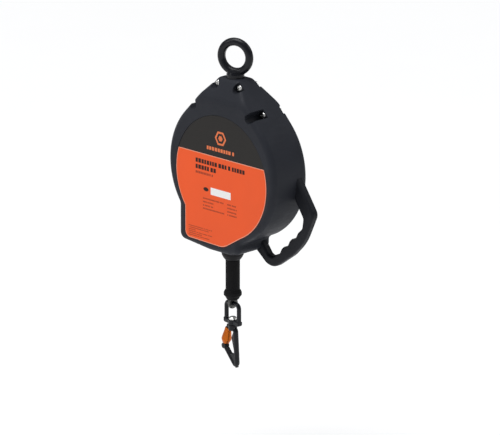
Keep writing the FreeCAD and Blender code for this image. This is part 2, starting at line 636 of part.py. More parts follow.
def make_winding():
    """Wound cable: a sleeve whose outside shows each wrap, with one wrap left for the lead."""
    body = ring_y(OUTER_WRAP_R - LAYER_STEP, CORE_R, -DRUM_HALF + 0.1, DRUM_HALF - 0.1, DRUM_X, DRUM_Z)
    middle = WRAPS // 2
    rings = []
    for k in range(WRAPS):
        radius = OUTER_WRAP_R - (LAYER_STEP if k == middle else 0.0)
        y = (k - middle) * WRAP_PITCH
        rings.append(Part.makeTorus(radius, CABLE_R, V(DRUM_X, y, z(DRUM_Z)), V(0, 1, 0)))
        if k != middle:
            rings.append(ring_y(radius, OUTER_WRAP_R - LAYER_STEP - 1, y - CABLE_R * 0.9, y + CABLE_R * 0.9,
                                DRUM_X, DRUM_Z))
    return joined([body] + rings)


# ---------------------------------------------------------------- pawls and brake
def polar(radius, degrees):
    angle = math.radians(degrees)
    return DRUM_X + radius * math.cos(angle), DRUM_Z + radius * math.sin(angle)


PAWL_ANGLES = (90.0, 270.0)
PAWL_Y = (19.8, 19.8 + PAWL_T)


def make_pawl_plate():
    plate = ring_y(55.0, BUSH_R, *PAWL_PLATE_Y, DRUM_X, DRUM_Z)
    holes = [rod_y(1.5, 10, 30, x, height) for x, height in flange_screw_places()]
    holes += [rod_y(PAWL_PIN_R, 10, 30, *polar(PAWL_PIVOT_R, a)) for a in PAWL_ANGLES]
    return plate.cut(joined(holes))


def make_pawl_pins():
    return group([rod_y(PAWL_PIN_R, PAWL_PLATE_Y[0], 25.4, *polar(PAWL_PIVOT_R, a)) for a in PAWL_ANGLES])


def make_pawl(angle):
    """Flat steel pawl: an eye on its pin, a body that follows the ring, and a hooked tip."""
    px, ph = polar(PAWL_PIVOT_R, angle)
    tip, back = polar(56.0, angle + 32), polar(51.0, angle + 31)
    neck_out, neck_in = polar(47.0, angle + 2), polar(31.5, angle + 8)
    tail = polar(33.0, angle - 16)
    body = prism_y([(*tip, 0.6), (*back, 1.0), (*neck_in, 3.0), (*tail, 2.0), (*neck_out, 6.0)], *PAWL_Y)
    eye = rod_y(7.5, *PAWL_Y, px, ph)
    return joined([body, eye]).cut(rod_y(PAWL_PIN_R + RUNNING, PAWL_Y[0] - 1, PAWL_Y[1] + 1, px, ph))


def make_pawl_springs():
    """Extension springs that hold the pawls in, each under its pawl's arm."""
    springs = []
    for angle in PAWL_ANGLES:
        x, height = polar(26.5, angle + 25)
        along = V(math.sin(math.radians(angle)), 0, -math.cos(math.radians(angle)))
        place = FreeCAD.Placement(V(x, 22.2, z(height)), FreeCAD.Rotation(V(0, 0, 1), along))
        springs.append(coil(1.7, 0.4, 6, 1.3, place))
    return group(springs)


def make_ratchet():
    """Brake ring with inner ratchet teeth."""
    corners = []
    for k in range(TEETH):
        start = k * 360.0 / TEETH
        corners += [polar(TOOTH_ROOT_R, start - 0.01), polar(TOOTH_TIP_R, start)]
    points = [V(x, 18, z(height)) for x, height in corners]
    hole = Part.Face(Part.makePolygon(points + [points[0]])).extrude(V(0, 10, 0))
    return rod_y(RATCHET_R, 19.5, 25.0, DRUM_X, DRUM_Z).cut(hole)


def make_friction_discs():
    return group([ring_y(RATCHET_R, 64.0, y0, y1, DRUM_X, DRUM_Z) for y0, y1 in ((18.0, 19.4), (25.1, 26.5))])


def make_pressure_ring():
    ring = ring_y(PRESSURE_R, 64.0, 16.0, 18.0, DRUM_X, DRUM_Z)
    return ring.cut(joined([rod_y(2.0, 10, 20, x, h) for x, h in brake_screw_places()]))


def make_brake_screws():
    return group([rod_y(2.0, 16.0, REAR_PLATE[1], x, h).fuse(hexagon(3.9, REAR_PLATE[1], REAR_PLATE[1] + 2.5, x, h))
                  for x, h in brake_screw_places()])


# ---------------------------------------------------------------- cable outlet
GUIDE_HALF, GUIDE_ARC_R, GUIDE_TURN_Z = 9.0, 24.0, -100.0
LEAD_R = OUTER_WRAP_R + 0.9


def lead_path():
    """From the outlet up round the guide, straight to the drum and part of a turn round it."""
    cx = LINE_X - GUIDE_ARC_R - DRUM_X
    ch = GUIDE_TURN_Z - DRUM_Z
    reach = math.hypot(cx, ch)
    bend = math.asin((LEAD_R + GUIDE_ARC_R) / reach) - math.atan2(-cx, -ch)
    centre = V(LINE_X - GUIDE_ARC_R, 0, z(GUIDE_TURN_Z))

    def on_bend(angle):
        return centre + V(math.cos(angle), 0, math.sin(angle)) * GUIDE_ARC_R

    hub = V(DRUM_X, 0, z(DRUM_Z))
    off = V(-math.cos(bend), 0, -math.sin(bend))
    turn = math.radians(35)

    def on_drum(angle):
        return hub + V(-math.cos(bend - angle), 0, -math.sin(bend - angle)) * LEAD_R

    edges = [Part.Arc(on_bend(0), on_bend(bend / 2), on_bend(bend)).toShape(),
             Part.LineSegment(on_bend(bend), hub + off * LEAD_R).toShape(),
             Part.Arc(hub + off * LEAD_R, on_drum(turn / 2), on_drum(turn)).toShape()]
    return Part.Wire(edges)


def make_lead():
    return bar(lead_path(), CABLE_R)


def make_cable_guide():
    """Block between the plates whose flared throat turns the cable downwards."""
    left, right = LINE_X - 25, LINE_X + 25
    block = prism_y([(left, -91, 3), (right, -91, 3), (right, -107, 3), (left, -107, 3)], -GUIDE_HALF, GUIDE_HALF)
    straight = Part.LineSegment(V(LINE_X, 0, z(-112)), V(LINE_X, 0, z(GUIDE_TURN_Z))).toShape()
    throat = Part.Wire([straight, *lead_path().Edges[:2]])
    block = block.cut(bar(throat, CABLE_R + 0.8))
    return block.cut(joined([rod_y(BOLT_R, -20, 20, x, h) for x, h in GUIDE_BOLTS]))


def make_nozzle():
    profile = [(4.2, -112), (12.0, -112), (12.0, NOZZLE_TOP), (17.4, NOZZLE_TOP), (17.4, -122.0),
               (16.6, -126.0), (14.6, -130.0), (12.0, NOZZLE_BOTTOM), (6.5, NOZZLE_BOTTOM), (4.2, -129)]
    return turned_z(profile, LINE_X)


def make_nozzle_ring():
    low = BLOCK_BOTTOM + WALL
    return rod_z(15.4, low, low + 2.4, LINE_X).cut(rod_z(12.0, low - 1, low + 5, LINE_X))


# ---------------------------------------------------------------- cable end
LOOP_R = LOOP_HOLE + THIMBLE_T + CABLE_R
LEG_Y, FOOT_HALF = 2.4, 4.2


def make_span():
    return rod_z(CABLE_R, SPAN_BOTTOM, SPAN_TOP, LINE_X)


def make_cable_eye():
    """Cable from the sleeve's top down round the thimble and back up to its cut end."""
    legs_top, legs_low = -139.0, -186.0
    drop = legs_low - LOOP_Z
    slope = math.asin(LOOP_R / math.hypot(LEG_Y, drop)) - math.atan2(LEG_Y, drop)
    foot_y, foot_z = LOOP_R * math.cos(slope), LOOP_R * math.sin(slope)
    points = [(0, SPAN_BOTTOM), (0, legs_top + 1.5), (-LEG_Y, legs_top - 5), (-LEG_Y, legs_low)]
    left = rounded_path([V(LINE_X, y, z(h)) for y, h in points] + [V(LINE_X, -foot_y, z(LOOP_Z + foot_z))],
                        [0, 8, 8, 12, 0])
    right = rounded_path([V(LINE_X, foot_y, z(LOOP_Z + foot_z)), V(LINE_X, LEG_Y, z(legs_low)),
                          V(LINE_X, LEG_Y, z(legs_top - 8))], [0, 12, 0])
    loop = Part.Arc(V(LINE_X, -foot_y, z(LOOP_Z + foot_z)), V(LINE_X, 0, z(LOOP_Z - LOOP_R)),
                    V(LINE_X, foot_y, z(LOOP_Z + foot_z))).toShape()
    return bar(Part.Wire([*left.Edges, loop, *right.Edges]), CABLE_R)


def make_ferrules(cable):
    runs = ((-164.0, -150.0), (-180.7, -167.5))
    return group([rod_z(SLEEVE_BORE - 0.3, low, high, LINE_X).cut(cable) for low, high in runs])


def make_thimble():
    groove = Part.makeTorus(LOOP_R, CABLE_R + 0.01, V(LINE_X, 0, z(LOOP_Z)), V(1, 0, 0))
    ring = Part.makeCylinder(LOOP_R, 4.6, V(LINE_X - 2.3, 0, z(LOOP_Z)), V(1, 0, 0))
    ring = ring.cut(Part.makeCylinder(LOOP_HOLE, 10, V(LINE_X - 5, 0, z(LOOP_Z)), V(1, 0, 0)))
    return ring.cut(groove)


def make_sleeve():
    top = NOZZLE_BOTTOM - 0.3
    profile = [(SLEEVE_BORE, SLEEVE_END), (SLEEVE_R, SLEEVE_END), (SLEEVE_R, top - 1), (SLEEVE_R - 1, top),
               (2.6, top), (2.6, top - 3), (SLEEVE_BORE, top - 7)]
    return turned_z(profile, LINE_X)


def make_sleeve_collar(cable, thimble):
    profile = [(8.0, -197.0), (9.5, -196.0), (11.2, -192.8), (13.7, -189.6), (13.7, -185.8), (12.4, -183.0),
               (11.0, SLEEVE_END), (0.5, SLEEVE_END), (0.5, -197.0)]
    return turned_z(profile, LINE_X).cut(cable).cut(thimble).cut(rod_z(LOOP_HOLE, -198, -183, LINE_X))


def make_link():
    """Swivel link: a round-bar stirrup with a drilled block across its foot."""
    low, bar_z = LINK_BLOCK_TOP - 3, LOOP_Z - 0.2
    xs = (LINE_X - LINK_HALF, LINE_X + LINK_HALF)
    points = [V(xs[0], 0, z(low)), V(xs[0], 0, z(bar_z)), V(xs[1], 0, z(bar_z)), V(xs[1], 0, z(low))]
    stirrup = bar(rounded_path(points, [0, 7, 7, 0]), LINK_BAR)
    half, round_r = LINK_HALF + LINK_BAR, 3.6
    foot = prism_y([(LINE_X - half, LINK_BLOCK_TOP, 0), (LINE_X + half, LINK_BLOCK_TOP, 0),
                    (LINE_X + half, LINK_BLOCK_BOTTOM, round_r), (LINE_X - half, LINK_BLOCK_BOTTOM, round_r)],
                   -FOOT_HALF, FOOT_HALF)
    foot = foot.makeFillet(1.8, [e for e in foot.Edges if abs(e.BoundBox.YLength) < 1e-3])
    boss = rod_z(7.2, LINK_BLOCK_BOTTOM, LINK_BLOCK_TOP, LINE_X)
    bore = rod_z(RIVET_R + RUNNING, LINK_BLOCK_BOTTOM - 1, LINK_BLOCK_TOP + 1, LINE_X)
    return joined([stirrup, foot, boss]).cut(bore)


# ---------------------------------------------------------------- hook
def hook_point(u, height):
    """Point in the hook's own plane, u measured from its swivel axis."""
    angle = math.radians(LINK_TURN)
    return V(LINE_X + u * math.cos(angle), u * math.sin(angle), z(height))


def hook_normal():
    angle = math.radians(LINK_TURN)
    return V(-math.sin(angle), math.cos(angle), 0)


def hook_rod(u, height, radius, half):
    """Cylinder across the hook's plane."""
    return Part.makeCylinder(radius, 2 * half, hook_point(u, height) - hook_normal() * half, hook_normal())


def make_rivet():
    low, top = LINK_BLOCK_TOP + 0.3, LINK_BLOCK_TOP + 4.3
    head = turned_z([(0, top), (4.6, top), (RIVET_HEAD_R, top - 1.4), (RIVET_HEAD_R, low), (0, low)], LINE_X)
    head = head.cut(box(LINE_X - 8, LINE_X + 8, -0.8, 0.8, top - 1.4, top + 1))
    return head.fuse(rod_z(RIVET_R, NECK_TOP - 8, low, LINE_X)).removeSplitter()


def hook_vertex():
    """Sharp corner of the hook's tip, where the spine and the lower arm would meet."""
    cu, cz = SPINE_U - TIP_R, TIP_Z
    du, dz = PIVOT_U - cu, PIVOT_Z - cz
    reach = math.hypot(du, dz)
    tangent = math.atan2(dz, du) + math.acos(TIP_R / reach)
    slope_u, slope_z = cu + TIP_R * math.cos(tangent), cz + TIP_R * math.sin(tangent)
    rise = (slope_z - PIVOT_Z) / (slope_u - PIVOT_U)
    return SPINE_U, PIVOT_Z + rise * (SPINE_U - PIVOT_U)


def hook_web(corners, half):
    """Flat web in the hook's plane from (u, height) corners."""
    points = [hook_point(u, height) - hook_normal() * half for u, height in corners]
    return Part.Face(Part.makePolygon(points + [points[0]])).extrude(hook_normal() * (2 * half))


def make_hook(rivet):
    tip = hook_vertex()
    neck = rod_z(6.8, NECK_TOP - 9.2, NECK_TOP, LINE_X)
    neck = neck.makeFillet(1.5, [e for e in neck.Edges if e.Closed])
    spine = bar(rounded_path([hook_point(0, NECK_TOP - 5), hook_point(7.0, NECK_TOP - 8), hook_point(*tip),
                              hook_point(PIVOT_U, PIVOT_Z)], [0, 5, TIP_R, 0]), HOOK_BAR)
    latch = hook_point(LATCH_U, LATCH_Z)
    along = (hook_point(PIVOT_U, PIVOT_Z) - latch).normalize()
    nose_start, nose_tip = hook_point(0, NECK_TOP - 4.4), hook_point(LATCH_U + 0.8, NECK_TOP - 4.2)
    nose_bar = bar(Part.Wire([Part.LineSegment(nose_start, nose_tip).toShape()]), NOSE_R)
    nose_ball = Part.makeSphere(NOSE_R, nose_tip)
    nose_stub = Part.makeCylinder(3.2, 3.6, latch - along * GATE_GAP, along * -1)
    eye = hook_rod(PIVOT_U, PIVOT_Z, 4.3, 4.2)
    upper_web = hook_web([(7.0, NECK_TOP - 8), (4.0, -249.5), (0.5, -257.5), (8.5, -283.0), (SPINE_U, -283.0)], 3.0)
    lower_web = hook_web([tip, (9.6, -276.0), (4.3, -284.0), (-7.0, -283.5)], 2.8)
    body = joined([neck, spine, nose_bar, nose_ball, nose_stub, eye, upper_web, lower_web])
    body = body.cut(hook_rod(PIVOT_U, PIVOT_Z, 5.4, 2.2))
    body = body.cut(Part.makeCylinder(9.0, 12.0, latch - along * GATE_GAP, along))
    body = body.cut(hook_rod(PIVOT_U, PIVOT_Z, GATE_PIN_R, 8)).cut(rivet)
    return max(body.Solids, key=lambda s: s.Volume)


def make_gate_pin():
    return hook_rod(PIVOT_U, PIVOT_Z, GATE_PIN_R, 4.6)


def gate_frame():
    """Start, direction and length of the gate, from its pivot to its latch."""
    start, end = hook_point(PIVOT_U, PIVOT_Z), hook_point(LATCH_U, LATCH_Z)
    return start, (end - start).normalize(), start.distanceToPoint(end)


def make_gate():
    start, along, length = gate_frame()
    rod = Part.makeCylinder(GATE_R, length - 4.8, start + along * 4.8, along)
    tongue = hook_rod(PIVOT_U, PIVOT_Z, 4.1, 1.9)
    side = hook_normal()
    across = side.cross(along).normalize()
    corners = [start + across * 2.6 - side * 1.9, start - across * 2.6 - side * 1.9]
    corners += [corners[1] + along * 8, corners[0] + along * 8]
    web = Part.Face(Part.makePolygon(corners + [corners[0]])).extrude(side * 3.8)
    gate = joined([rod, tongue, web]).cut(hook_rod(PIVOT_U, PIVOT_Z, GATE_PIN_R + RUNNING, 8))
    return gate.cut(Part.makeCylinder(2.2, 12, start + along * 9, along))


def make_gate_spring():
    start, along, _ = gate_frame()
    place = FreeCAD.Placement(start + along * 9.8, FreeCAD.Rotation(V(0, 0, 1), along))
    return coil(1.5, 0.3, 8, 1.2, place)


SLEEVE_FROM, SLEEVE_LENGTH = 5.2, 26.4


def along_gate(profile):
    """Solid of revolution about the gate, from (radius, distance from the pivot) points."""
    start, along, _ = gate_frame()
    points = [V(r, 0, d) for r, d in profile]
    solid = Part.Face(Part.makePolygon(points + [points[0]])).revolve(V(0, 0, 0), V(0, 0, 1), 360)
    solid.Placement = FreeCAD.Placement(start, FreeCAD.Rotation(V(0, 0, 1), along))
    return solid


def make_lock_sleeve():
    bore, s, e = GATE_R + RUNNING, SLEEVE_FROM, SLEEVE_FROM + SLEEVE_LENGTH
    return along_gate([(4.6, s), (5.3, s), (7.2, s + 4.6), (7.7, s + 6.0), (7.7, s + 7.4), (7.0, s + 12),
                       (6.0, s + 17.5), (5.4, s + 20.6), (5.0, s + 21), (5.0, s + 22.2), (5.3, s + 22.6),
                       (4.8, e - 0.8), (4.2, e), (bore, e), (bore, s + 8), (4.6, s + 8)])


def make_sleeve_spring():
    start, along, _ = gate_frame()
    place = FreeCAD.Placement(start + along * (SLEEVE_FROM + 1.0), FreeCAD.Rotation(V(0, 0, 1), along))
    return coil(3.95, 0.4, 4, 1.5, place, wide=True)


# ---------------------------------------------------------------- output
def with_link_turn(shape):
    shape.rotate(V(LINE_X, 0, 0), V(0, 0, 1), LINK_TURN)
    return shape


def make_nodes():
    handle = make_handle()
    front_shell, rear_shell = make_shells(handle)
    cable = make_cable_eye()
    thimble = make_thimble()
    rivet = make_rivet()
    label_y = FRONT_Y + LABEL_RECESS
    return {
        "swivel_eye": make_eye(),
        "eye_washer": make_eye_washer(),
        "eye_nut": make_eye_nut(),
        "eye_lock_pin": make_eye_lock_pin(),
        "eye_bush": make_eye_bush(),
        "front_shell": front_shell,
        "rear_shell": rear_shell,
        "carry_handle": handle,
        "shell_screws": make_screws(),
        "shell_nuts": make_nuts(),
        "front_label": label_plate(0.0, label_y - LABEL_T, label_y),
        "top_bracket": make_top_bracket(),
        "front_frame_plate": make_front_plate(),
        "rear_frame_plate": make_rear_plate(),
        "frame_spacers": make_spacers(),
        "frame_bolts": make_frame_bolts(),
        "frame_nuts": make_frame_nuts(),
        "main_shaft": make_shaft(),
        "shaft_clips": make_shaft_clips(),
        "spring_case": make_spring_case(),
        "case_screws": make_case_screws(),
        "power_spring": make_power_spring(),
        "spring_arbor": make_arbor(),
        "drum": make_drum(),
        "drum_flange": make_drum_flange(),
        "flange_screws": make_flange_screws(),
        "drum_bushes": make_drum_bushes(),
        "cable_winding": make_winding(),
        "pawl_plate": make_pawl_plate(),
        "pawl_pins": make_pawl_pins(),
        "pawl_springs": make_pawl_springs(),
        "pawl_a": make_pawl(PAWL_ANGLES[0]),
        "pawl_b": make_pawl(PAWL_ANGLES[1]),
        "ratchet_ring": make_ratchet(),
        "friction_discs": make_friction_discs(),
        "pressure_ring": make_pressure_ring(),
        "brake_screws": make_brake_screws(),
        "cable_lead": make_lead(),
        "cable_guide": make_cable_guide(),
        "cable_nozzle": make_nozzle(),
        "nozzle_ring": make_nozzle_ring(),
        "cable_span": make_span(),
        "cable_eye": with_link_turn(cable.copy()),
        "ferrules": with_link_turn(make_ferrules(cable)),
        "thimble": with_link_turn(thimble.copy()),
        "bumper_sleeve": make_sleeve(),
        "sleeve_collar": with_link_turn(make_sleeve_collar(cable, thimble)),
        "swivel_link": with_link_turn(make_link()),
        "swivel_rivet": rivet,
        "hook_body": make_hook(rivet),
        "gate": make_gate(),
        "gate_pin": make_gate_pin(),
        "gate_spring": make_gate_spring(),
        "lock_sleeve": make_lock_sleeve(),
        "sleeve_spring": make_sleeve_spring(),
    }


os.makedirs("parts", exist_ok=True)
for name, shape in make_nodes().items():
    if not shape.isValid():
        print("not valid:", name)
    print(f"{name}: {len(shape.Solids)} solid(s), {shape.Volume / 1000:.2f} cm3")
    shape.exportStep(f"parts/{name}.step")
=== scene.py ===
import json
import math
import random

import bmesh
import bpy
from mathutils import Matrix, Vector


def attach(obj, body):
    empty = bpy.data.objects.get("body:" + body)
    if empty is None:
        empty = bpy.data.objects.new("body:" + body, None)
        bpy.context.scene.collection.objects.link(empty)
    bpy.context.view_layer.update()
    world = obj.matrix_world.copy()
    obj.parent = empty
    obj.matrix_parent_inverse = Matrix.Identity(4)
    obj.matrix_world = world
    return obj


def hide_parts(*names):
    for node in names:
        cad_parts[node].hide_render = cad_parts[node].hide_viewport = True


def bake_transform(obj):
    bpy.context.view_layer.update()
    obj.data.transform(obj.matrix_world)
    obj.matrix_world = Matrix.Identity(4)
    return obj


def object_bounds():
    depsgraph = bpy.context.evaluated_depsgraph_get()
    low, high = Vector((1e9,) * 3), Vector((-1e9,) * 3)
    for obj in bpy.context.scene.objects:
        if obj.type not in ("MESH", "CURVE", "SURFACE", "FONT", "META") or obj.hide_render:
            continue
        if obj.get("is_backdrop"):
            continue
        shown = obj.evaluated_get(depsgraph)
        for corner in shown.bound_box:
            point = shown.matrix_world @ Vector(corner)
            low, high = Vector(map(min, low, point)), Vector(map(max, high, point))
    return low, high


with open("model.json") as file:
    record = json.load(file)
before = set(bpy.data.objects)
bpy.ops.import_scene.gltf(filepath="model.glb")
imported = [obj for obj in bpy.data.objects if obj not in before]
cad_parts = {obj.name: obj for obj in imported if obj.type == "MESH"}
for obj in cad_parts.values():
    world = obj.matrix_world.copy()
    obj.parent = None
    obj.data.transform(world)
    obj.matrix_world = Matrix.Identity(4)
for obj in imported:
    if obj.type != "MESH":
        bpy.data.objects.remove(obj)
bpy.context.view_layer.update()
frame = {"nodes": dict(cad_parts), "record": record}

MM = 0.001
LABEL_MIDDLE = -183.0          # height of the label's middle, mm below the eye's centre
LABEL_FRONT_Y = -31.6
LABEL_CENTRE, LABEL_R = 1.0, 95.3    # the round edge's centre, both across and up, and its radius
BOUNDARY = 32.0                # height where the label turns from dark to orange
NODES = frame["nodes"]
SLOT_OF = {s["node"]: s["material_slot"] for s in frame["record"]["subparts"]}


def at(x, y, height):
    """A point in metres from millimetres and a height above the label's middle."""
    return Vector((x * MM, y * MM, (LABEL_MIDDLE + height) * MM))


# ---------------------------------------------------------------- materials
class Paint:
    """A material's node tree with short ways to add and link nodes."""

    def __init__(self, name):
        self.material = bpy.data.materials.new(name)
        self.material.use_nodes = True
        self.tree = self.material.node_tree
        self.shader = self.tree.nodes["Principled BSDF"]
        self.coords = self.node("ShaderNodeTexCoord").outputs["Object"]

    def node(self, kind, **inputs):
        node = self.tree.nodes.new(kind)
        for key, value in inputs.items():
            node.inputs[key.replace("_", " ")].default_value = value
        return node

    def link(self, output, target):
        self.tree.links.new(output, target)

    def stretched(self, scale):
        node = self.node("ShaderNodeMapping")
        node.inputs["Scale"].default_value = scale
        self.link(self.coords, node.inputs["Vector"])
        return node.outputs["Vector"]

    def noise(self, scale, detail=3.0, roughness=0.55, vector=None):
        node = self.node("ShaderNodeTexNoise", Scale=scale, Detail=detail, Roughness=roughness)
        self.link(vector or self.coords, node.inputs["Vector"])
        return node.outputs["Fac"]

    def cells(self, scale):
        node = self.node("ShaderNodeTexVoronoi", Scale=scale)
        self.link(self.coords, node.inputs["Vector"])
        return node.outputs["Distance"]

    def fit(self, value, low, high, out_low, out_high):
        node = self.node("ShaderNodeMapRange", From_Min=low, From_Max=high, To_Min=out_low, To_Max=out_high)
        self.link(value, node.inputs["Value"])
        return node.outputs["Result"]

    def combine(self, operation, a, b):
        node = self.node("ShaderNodeMath")
        node.operation = operation
        for socket, value in zip(node.inputs, (a, b)):
            if hasattr(value, "node"):
                self.link(value, socket)
            else:
                socket.default_value = value
        return node.outputs["Value"]

    def blend(self, factor, a, b):
        node = self.node("ShaderNodeMix")
        node.data_type = "RGBA"
        sockets = [s for s in node.inputs if s.type == "RGBA"]
        self.link(factor, node.inputs["Factor"])
        for socket, value in zip(sockets, (a, b)):
            if hasattr(value, "node"):
                self.link(value, socket)
            else:
                socket.default_value = (*value, 1.0)
        return next(o for o in node.outputs if o.type == "RGBA")

    def bump(self, heights):
        """Bump from (height output, depth in metres) pairs, coarse first."""
        normal = None
        for height, depth in heights:
            node = self.node("ShaderNodeBump", Distance=depth)
            self.link(height, node.inputs["Height"])
            if normal:
                self.link(normal, node.inputs["Normal"])
            normal = node.outputs["Normal"]
        self.link(normal, self.shader.inputs["Normal"])

    def set(self, **values):
        for key, value in values.items():
            self.shader.inputs[key.replace("_", " ")].default_value = value

    def colour(self, output):
        self.link(output, self.shader.inputs["Base Color"])

    def roughness(self, output):
        self.link(output, self.shader.inputs["Roughness"])


def tone(colour, factor):
    return tuple(min(1.0, c * factor) for c in colour)


def moulded(name, colour, rough, grain, depth, spread=0.10):
    """Moulded plastic: spark-eroded grain, slow shade changes and a few handling rubs."""
    p = Paint(name)
    slow, fine = p.noise(14.0, 3.0), p.noise(grain, 2.0, 0.7)
    rubs = p.noise(60.0, 5.0, 0.7, p.stretched((1.0, 1.0, 4.0)))
    shade = p.blend(p.fit(slow, 0.3, 0.7, 0.0, 1.0), tone(colour, 1 - spread), tone(colour, 1 + spread))
    p.colour(p.blend(p.fit(rubs, 0.62, 0.80, 0.0, 0.35), shade, tone(colour, 1.5)))
    p.roughness(p.fit(rubs, 0.35, 0.75, rough + 0.06, rough - 0.08))
    p.bump([(slow, 0.0004), (fine, depth)])
    p.set(IOR=1.46, Specular_IOR_Level=0.16)
    return p.material


def plated(name, colour, rough, lines, direction, depth=0.000012):
    """Plated or brushed metal with fine lines one way and soft clouds."""
    p = Paint(name)
    vector = p.stretched(tuple(0.04 if axis == direction else 1.0 for axis in "XYZ"))
    brushed, clouds = p.noise(lines, 4.0, 0.6, vector), p.noise(70.0, 4.0)
    p.colour(p.blend(p.fit(clouds, 0.3, 0.7, 0.0, 1.0), tone(colour, 0.82), tone(colour, 1.12)))
    p.roughness(p.fit(brushed, 0.3, 0.7, rough - 0.08, rough + 0.10))
    p.bump([(brushed, depth)])
    p.set(Metallic=1.0)
    return p.material


def cast(name, colour, rough):
    """Cast or sintered metal: sandy grain and soft clouds."""
    p = Paint(name)
    sand, clouds = p.noise(900.0, 3.0, 0.7), p.noise(40.0, 4.0)
    p.colour(p.blend(p.fit(clouds, 0.3, 0.7, 0.0, 1.0), tone(colour, 0.85), tone(colour, 1.1)))
    p.roughness(p.fit(sand, 0.3, 0.7, rough - 0.05, rough + 0.12))
    p.bump([(sand, 0.00008)])
    p.set(Metallic=1.0)
    return p.material


def powder_coated(name, colour, rough):
    """Powder coat over forged steel: orange peel, slightly uneven forging under it."""
    p = Paint(name)
    peel, forging, slow = p.noise(700.0, 2.0, 0.5), p.noise(110.0, 3.0, 0.5), p.noise(35.0, 4.0, 0.6)
    p.colour(p.blend(p.fit(slow, 0.3, 0.75, 0.0, 1.0), tone(colour, 0.8), tone(colour, 1.5)))
    p.roughness(p.fit(slow, 0.3, 0.7, rough - 0.06, rough + 0.08))
    p.bump([(forging, 0.0005), (peel, 0.00005)])
    p.set(Coat_Weight=0.09, Coat_Roughness=0.20, Specular_IOR_Level=0.20)
    return p.material


def rubber(name, colour):
    """Moulded rubber with faint folds along its length and a little dust."""
    p = Paint(name)
    grain = p.noise(1500.0, 2.0, 0.7)
    folds = p.noise(160.0, 3.0, 0.5, p.stretched((1.0, 1.0, 0.25)))
    dust = p.noise(90.0, 5.0, 0.7)
    p.colour(p.blend(p.fit(dust, 0.5, 0.8, 0.0, 0.5), colour, tone(colour, 2.2)))
    p.roughness(p.fit(dust, 0.3, 0.7, 0.62, 0.78))
    p.bump([(folds, 0.0006), (grain, 0.00005)])
    p.set(Specular_IOR_Level=0.14)
    return p.material


def anodised(name, colour):
    """Turned aluminium with a dyed anodised skin and fine tool marks round its length."""
    p = Paint(name)
    marks = p.noise(2500.0, 2.0, 0.5, p.stretched((0.3, 0.3, 1.0)))
    wear = p.noise(260.0, 5.0, 0.65)
    p.colour(p.blend(p.fit(wear, 0.64, 0.80, 0.0, 0.45), colour, (0.70, 0.36, 0.14)))
    p.roughness(p.fit(marks, 0.3, 0.7, 0.26, 0.40))
    p.bump([(marks, 0.00003)])
    p.set(Metallic=0.85)
    return p.material


def lining(name):
    """Pressed friction lining with pale specks."""
    p = Paint(name)
    specks = p.cells(900.0)
    p.colour(p.blend(p.fit(specks, 0.0, 0.5, 0.0, 1.0), (0.30, 0.21, 0.10), (0.12, 0.10, 0.085)))
    p.bump([(specks, 0.0001)])
    p.set(Roughness=0.85)
    return p.material


def label_film(name, dark, orange, boundary):
    """Printed film: dark over orange with a straight boundary, under a satin laminate."""
    p = Paint(name)
    split = p.node("ShaderNodeSeparateXYZ")
    p.link(p.coords, split.inputs["Vector"])
    above = p.combine("GREATER_THAN", split.outputs["Z"], (LABEL_MIDDLE + boundary) * MM)
    slow, fine = p.noise(9.0, 3.0), p.noise(1400.0, 2.0)
    low = p.blend(p.fit(slow, 0.3, 0.7, 0.0, 1.0), tone(orange, 0.96), tone(orange, 1.03))
    high = p.blend(p.fit(slow, 0.3, 0.7, 0.0, 1.0), tone(dark, 0.92), tone(dark, 1.1))
    p.colour(p.blend(above, low, high))
    p.roughness(p.fit(slow, 0.3, 0.7, 0.42, 0.5))
    p.bump([(slow, 0.0002), (fine, 0.000008)])
    p.set(Specular_IOR_Level=0.16)
    return p.material


def flat_paint(name, colour, rough=0.5):
    p = Paint(name)
    speck = p.noise(3000.0, 2.0)
    p.colour(p.blend(p.fit(speck, 0.3, 0.7, 0.0, 1.0), tone(colour, 0.9), tone(colour, 1.08)))
    p.bump([(speck, 0.000005)])
    p.set(Roughness=rough, Specular_IOR_Level=0.16)
    return p.material


def rope_wire(name, colour):
    """Drawn wire with grime between the strands."""
    p = Paint(name)
    grime, fine = p.noise(240.0, 4.0), p.noise(2600.0, 2.0)
    p.colour(p.blend(p.fit(grime, 0.45, 0.75, 0.0, 1.0), colour, tone(colour, 0.45)))
    p.roughness(p.fit(grime, 0.3, 0.7, 0.30, 0.5))
    p.bump([(fine, 0.00002)])
    p.set(Metallic=1.0)
    return p.material


CHARCOAL = (0.0215, 0.0235, 0.0305)
LABEL_DARK = (0.0205, 0.0185, 0.0170)
ORANGE = (0.88, 0.108, 0.024)

